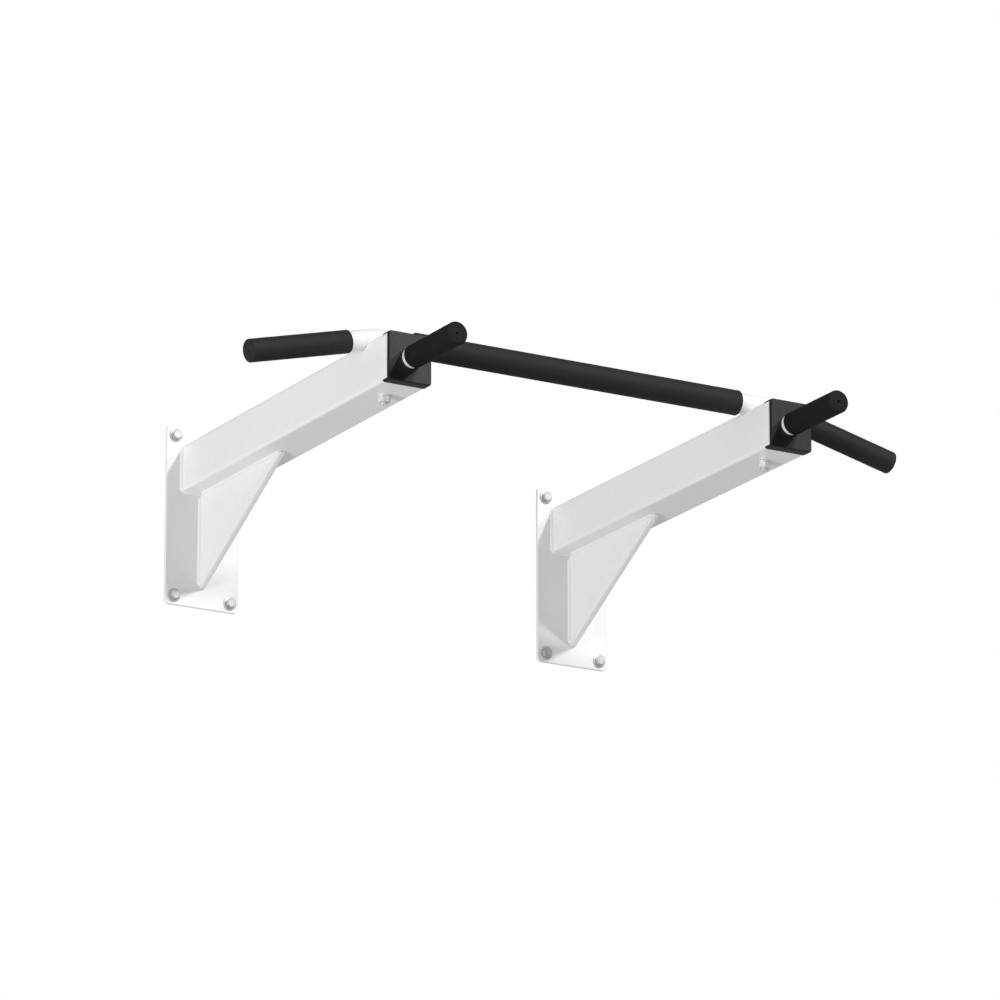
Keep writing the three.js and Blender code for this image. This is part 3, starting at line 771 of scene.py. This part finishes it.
def makeWallScrews(word, offset):
    # Head, plain shank and thread in one surface of revolution whose radius changes with the angle.
    for i in range(4):
        node = f"{word}_wall_bolt_{i + 1}"
        low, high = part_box(node)
        centre = middle(node)
        spin = wallScrew["turns"][(i + offset) % 8]
        angles = roundAngles(6 * hexHead["stepsPerSide"])
        head, neck, radius = wallScrew["headHeight"], wallScrew["neck"], wallScrew["radius"]
        threadStart, length = head + wallScrew["threadStart"], high[1] - low[1]
        rows = np.concatenate([
            constantRow(0.0, 0.0, angles),
            hexRows(wallScrew["acrossFlats"], angles, head, False),
            constantRow(head, radius + neck, angles),
            constantRow(head + neck, radius, angles),
            constantRow(threadStart, radius, angles),
            threadRows(threadStart + wallScrew["threadGap"], length, radius, wallScrew["threadDepth"],
                       wallScrew["pitch"], wallScrew["rowsPerTurn"], angles, wallScrew["tip"]),
            constantRow(length, 0.0, angles),
        ])
        sideways = (np.cos(spin), 0.0, np.sin(spin))
        points = placeRows(rows, angles, (centre[0], low[1], centre[2]), (0, 1, 0), sideways)
        makePiece(f"{word}WallScrew{i + 1}", [surface(points, False, True)], zincPlate,
                  [node], 28)
        makeWasher(f"{word}WallScrewWasher{i + 1}", f"{word}_wall_washer_{i + 1}", (0, 1, 0), (0, 0, 1),
                   radius, zincPlate)


def makeWasher(name, node, along, sideways, shankRadius, finish):
    # A flat ring with rounded outer edges; its section is carried round the axis.
    low, high = (np.array(v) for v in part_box(node))
    along = np.array(along, float)
    centre = (low + high) / 2
    thick = float(np.abs((high - low) @ along))
    start = centre - along * thick / 2
    r, e, bore = washerLook["radius"], washerLook["edge"], shankRadius + washerLook["play"]
    mouth, depth = bore + washerLook["mouthWiden"], washerLook["mouthDepth"]
    profile = np.array([[0, mouth], [0, r - e], [e * 0.3, r - e * 0.3], [e, r], [thick - e, r],
                        [thick - e * 0.3, r - e * 0.3], [thick, r - e], [thick, mouth],
                        [thick - depth, bore], [depth, bore]])
    points = turned(profile, roundAngles(washerLook["around"]), start, along, sideways)
    makePiece(name, [surface(points, True, True)], finish, [node], 28)


def makeBarStud(word):
    # Plain through the bar, threaded below, with a chamfered end; its top is flush with the bar.
    node = word + "_bar_stud"
    low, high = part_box(node)
    centre = middle(node)
    angles = roundAngles(studLook["around"])
    length, radius, chamfer = high[2] - low[2], studLook["radius"], studLook["endChamfer"]
    threadStart = length - studLook["threadLength"]
    rows = np.concatenate([
        constantRow(0.0, 0.0, angles),
        constantRow(0.0, radius, angles),
        constantRow(threadStart, radius, angles),
        threadRows(threadStart + studLook["threadGap"], length - chamfer / 2,
                   radius - studLook["threadPlay"], studLook["threadDepth"], studLook["pitch"],
                   studLook["rowsPerTurn"], angles, 0),
        constantRow(length, radius - chamfer, angles),
        constantRow(length, 0.0, angles),
    ])
    points = placeRows(rows, angles, (centre[0], centre[1], high[2]), (0, 0, -1), (1, 0, 0))
    makePiece(word + "BarStud", [surface(points, False, True)], reflectionBrightenedNutPlate, [node], 28)


def makeBarNut(word, spin):
    # A hexagon chamfered at both ends, with a bore that opens out slightly at its mouths.
    node = word + "_bar_nut"
    low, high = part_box(node)
    centre = middle(node)
    angles = roundAngles(6 * hexHead["stepsPerSide"])
    height, bore, edge = high[2] - low[2], nutLook["bore"], nutLook["boreEdge"]
    rows = np.concatenate([
        constantRow(0.0, bore + edge, angles),
        hexRows(nutLook["acrossFlats"], angles, height, True),
        constantRow(height, bore + edge, angles),
        constantRow(height - edge, bore, angles),
        constantRow(edge, bore, angles),
    ])
    sideways = (np.cos(spin), np.sin(spin), 0)
    points = placeRows(rows, angles, (centre[0], centre[1], low[2]), (0, 0, 1), sideways)
    makePiece(word + "BarNut", [surface(points, True, True)], reflectionBrightenedNutPlate, [node], 28)


for i, word in enumerate(("left", "right")):
    makeWallScrews(word, 3 * i)
    makeBarStud(word)
    makeBarNut(word, nutLook["turns"][i])
    makeWasher(word + "BarNutWasher", word + "_bar_washer", (0, 0, 1), (1, 0, 0),
               studLook["radius"], reflectionBrightenedNutPlate)
print("bolts, nuts and washers done")


weld = {
    "size": 0.0035, "ripple": 0.00018, "ripplePitch": 0.0034, "bulge": 0.12, "acrossSteps": 6,
    "sink": 0.0006, "step": 0.0007, "cornerSteps": 12,
    "fade": 0.003, "endShare": 0.25, "startGap": 0.006, "endGap": 0.004,
}


def weldSection(size):
    # Across a bead in the corner of two faces: a slightly bulging line from one face to the other, closed
    # by two sides sunk just below the faces. Columns are the distances from the two faces.
    t = np.linspace(0, 1, weld["acrossSteps"] + 1)
    bulge = 1 + weld["bulge"] * np.sin(np.pi * t)
    face = np.stack([(1 - t) * bulge, t * bulge], axis=1) * size
    sunk = -weld["sink"]
    return np.concatenate([[[size, sunk]], face, [[sunk, size], [sunk, sunk]]])


def ripples(distance, columns):
    # Waves along the bead, 1 + height times sin(2 pi (distance / pitch + lag)), where the lag grows with
    # the square of the place across, as the edge of each weld pool curves.
    lag = np.linspace(-1, 1, columns)[None, :] ** 2 * 0.4
    turns = distance[:, None] / weld["ripplePitch"] + lag
    return 1 + weld["ripple"] / weld["size"] * np.sin(2 * np.pi * turns)


def swollen(column, swell):
    # One column of the section along the bead, larger by the swell where it is outside the steel.
    return np.where(column > 0, column[None, :] * swell, column[None, :])


def straightBead(start, end, firstOut, secondOut):
    # A bead from start to end in the corner of two faces with the given outward directions.
    start, end = np.array(start, float), np.array(end, float)
    length = np.linalg.norm(end - start)
    distance = np.linspace(0, length, int(length / weld["step"]) + 2)
    section = weldSection(weld["size"])
    toEnd = np.minimum(distance, length - distance)
    fade = np.clip(toEnd / weld["fade"], weld["endShare"], 1) ** 0.5
    swell = ripples(distance, len(section)) * fade[:, None]
    a, b = swollen(section[:, 0], swell), swollen(section[:, 1], swell)
    line = start + (end - start) * (distance / length)[:, None]
    firstOut, secondOut = np.array(firstOut, float), np.array(secondOut, float)
    points = line[:, None, :] + a[..., None] * firstOut + b[..., None] * secondOut
    ends = [np.broadcast_to(row.mean(axis=0), row.shape)[None] for row in (points[0], points[-1])]
    return surface(np.concatenate([ends[0], points, ends[1]]), False, True)


def armBead(word):
    # The bead round the arm at the wall plate: a section carried round the arm's rounded outline.
    low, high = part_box(word + "_arm_tube")
    centre = middle(word + "_arm_tube")
    half = (high[0] - low[0]) / 2
    side = np.linspace(-1, 1, int(2 * (half - arm["corner"]) / weld["step"]))
    ring = roundedRing(half, half, arm["corner"], side, side, weld["cornerSteps"])
    ahead = np.roll(ring, -1, axis=0) - np.roll(ring, 1, axis=0)
    out = np.stack([ahead[:, 1], -ahead[:, 0]], axis=1)
    out /= np.linalg.norm(out, axis=1, keepdims=True)
    distance = np.cumsum(np.linalg.norm(np.diff(ring, axis=0, prepend=ring[-1:]), axis=1))
    wholeRipples = np.round(distance[-1] / weld["ripplePitch"])
    distance = distance * (wholeRipples * weld["ripplePitch"] / distance[-1])
    section = weldSection(weld["size"])
    swell = ripples(distance, len(section))
    a, b = swollen(section[:, 0], swell), swollen(section[:, 1], swell)
    flat = ring[:, None, :] + out[:, None, :] * a[..., None]
    points = np.stack([centre[0] + flat[..., 0], high[1] - b, centre[2] + flat[..., 1]], axis=-1)
    return surface(points, True, True)


def makeWelds(word):
    # One bead round the arm at the plate, and four along the gusset: two under the arm, two down the plate.
    low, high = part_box(word + "_gusset")
    makePiece(word + "ArmWeld", [armBead(word)], whitePaint, [], 60)
    back, top = high[1], high[2]
    for sign, sideWord in ((-1, "Outer"), (1, "Inner")):
        x = high[0] if sign > 0 else low[0]
        under = straightBead((x, back - weld["startGap"], top), (x, low[1] + weld["endGap"], top),
                             (sign, 0, 0), (0, 0, -1))
        down = straightBead((x, back, top - weld["startGap"]), (x, back, low[2] + weld["endGap"]),
                            (sign, 0, 0), (0, -1, 0))
        makePiece(f"{word}GussetArmWeld{sideWord}", [under], whitePaint, [], 60)
        makePiece(f"{word}GussetPlateWeld{sideWord}", [down], whitePaint, [], 60)


for word in ("left", "right"):
    makeWelds(word)
    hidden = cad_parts[word + "_handle_plate"]
    hidden.data.materials.clear()
    hidden.data.materials.append(whitePaint)
print("welds done")


studio = {
    "floorLevel": -6.0, "floorHalf": 90.0, "floorWave": 0.002, "floorColour": (0.80, 0.80, 0.80),
    "skyLight": 0.52, "skyInReflections": 0.30, "wallHalfWidth": 1.6, "wallHalfHeight": 1.1,
    "wallBehind": 0.0004, "aim": (0.0, -0.35, 0.03),
}
lamps = {
    "lowKey": {"from": (0.33, -0.877, 0.349), "distance": 9.0, "power": 168.0, "size": 0.60},
    "highKey": {"from": (0.287, -0.764, 0.577), "distance": 9.0, "power": 472.0, "size": 0.70},
    "leftFill": {"from": (-0.94, -0.13, -0.31), "distance": 5.0, "power": 132.0, "size": 1.6},
}


def makeSheet(name, materialName, points):
    # A grid of points as a mesh, with a new material whose nodes are still to be made.
    points, faces = surface(points)
    mesh = bpy.data.meshes.new(name)
    mesh.from_pydata(points.tolist(), [], faces.tolist())
    sheet = bpy.data.objects.new(name, mesh)
    bpy.context.scene.collection.objects.link(sheet)
    material = bpy.data.materials.new(materialName)
    material.use_nodes = True
    mesh.materials.append(material)
    return sheet, material.node_tree


def makeFloor():
    # A wide level sheet, z = level + wave sin(0.31 x) cos(0.27 y), so slight that it still reads as flat.
    line = np.linspace(-studio["floorHalf"], studio["floorHalf"], 25)
    x, y = np.meshgrid(line, line, indexing="ij")
    z = studio["floorLevel"] + studio["floorWave"] * np.sin(x * 0.31) * np.cos(y * 0.27)
    floor, tree = makeSheet("studioFloor", "paleFloor", np.stack([x, y, z], axis=-1))
    floor.data.shade_smooth()
    shader = tree.nodes["Principled BSDF"]
    place = tree.nodes.new("ShaderNodeTexCoord").outputs["Object"]
    drift = noiseNode(tree, place, 0.6, 3.0)
    tone = studio["floorColour"]
    colour = mixColours(tree, drift, tone, tuple(v * 0.97 for v in tone))
    tree.links.new(colour, shader.inputs["Base Color"])
    shader.inputs["Roughness"].default_value = 0.9
    floor.visible_glossy = False


def makeWall():
    # A white sheet at the plates' backs, for the camera only and only from the front, so the screws'
    # shanks are out of sight as they are in a wall, yet the back can still be looked at.
    x, z = studio["wallHalfWidth"], studio["wallHalfHeight"]
    line = np.linspace(-1, 1, 9)
    gridX, gridZ = np.meshgrid(line * x, line * z, indexing="ij")
    points = np.stack([gridX, 0 * gridX + studio["wallBehind"], gridZ], axis=-1)
    wall, tree = makeSheet("whiteWall", "whiteWall", points)
    tree.nodes.clear()
    out = tree.nodes.new("ShaderNodeOutputMaterial")
    white = tree.nodes.new("ShaderNodeEmission")
    clear = tree.nodes.new("ShaderNodeBsdfTransparent")
    mix = tree.nodes.new("ShaderNodeMixShader")
    behind = tree.nodes.new("ShaderNodeNewGeometry").outputs["Backfacing"]
    tree.links.new(behind, mix.inputs[0])
    tree.links.new(white.outputs[0], mix.inputs[1])
    tree.links.new(clear.outputs[0], mix.inputs[2])
    tree.links.new(mix.outputs[0], out.inputs["Surface"])
    for kind in ("diffuse", "glossy", "transmission", "shadow", "volume_scatter"):
        setattr(wall, "visible_" + kind, False)


def makeSky():
    # White to the camera, softer as light on the object and dim in its reflections.
    world = bpy.data.worlds.new("studioSky")
    world.use_nodes = True
    tree = world.node_tree
    tree.nodes.clear()
    out = tree.nodes.new("ShaderNodeOutputWorld")
    path = tree.nodes.new("ShaderNodeLightPath")
    shades = []
    for strength in (studio["skyLight"], studio["skyInReflections"], 1.0):
        shade = tree.nodes.new("ShaderNodeBackground")
        shade.inputs["Color"].default_value = (1, 1, 1, 1)
        shade.inputs["Strength"].default_value = strength
        shades.append(shade.outputs[0])
    result = shades[0]
    for ray, shade in (("Is Glossy Ray", shades[1]), ("Is Camera Ray", shades[2])):
        mix = tree.nodes.new("ShaderNodeMixShader")
        tree.links.new(path.outputs[ray], mix.inputs[0])
        tree.links.new(result, mix.inputs[1])
        tree.links.new(shade, mix.inputs[2])
        result = mix.outputs[0]
    tree.links.new(result, out.inputs["Surface"])
    bpy.context.scene.world = world


def makeLamps():
    # Round soft lamps, each at a distance from the object's middle and facing it.
    for name, lamp in lamps.items():
        data = bpy.data.lights.new(name, "AREA")
        data.shape = "DISK"
        data.size = lamp["size"]
        data.energy = lamp["power"]
        light = bpy.data.objects.new(name, data)
        direction = Vector(lamp["from"]).normalized()
        light.location = Vector(studio["aim"]) + direction * lamp["distance"]
        light.rotation_mode = "QUATERNION"
        light.rotation_quaternion = direction.to_track_quat("Z", "Y")
        light.visible_camera = False
        bpy.context.scene.collection.objects.link(light)


view = {"lens": 258.52, "place": (-4.95978, -8.95719, -3.03416), "turn": 29.9031, "rise": 16.9115}


def makeCamera():
    # A long lens at the place, looking along (sin turn cos rise, cos turn cos rise, sin rise).
    data = bpy.data.cameras.new("viewCamera")
    data.sensor_width = 36.0
    data.lens = view["lens"]
    data.clip_start, data.clip_end = 0.1, 300.0
    camera = bpy.data.objects.new("viewCamera", data)
    turn, rise = np.radians(view["turn"]), np.radians(view["rise"])
    forward = Vector((np.sin(turn) * np.cos(rise), np.cos(turn) * np.cos(rise), np.sin(rise)))
    right = Vector((np.cos(turn), -np.sin(turn), 0.0))
    up = right.cross(forward)
    camera.matrix_world = Matrix((
        (right.x, up.x, -forward.x, view["place"][0]),
        (right.y, up.y, -forward.y, view["place"][1]),
        (right.z, up.z, -forward.z, view["place"][2]),
        (0, 0, 0, 1),
    ))
    bpy.context.scene.collection.objects.link(camera)
    bpy.context.scene.camera = camera


makeFloor()
makeWall()
makeSky()
makeLamps()
makeCamera()
bpy.context.scene.view_settings.view_transform = "Standard"
print("studio done")
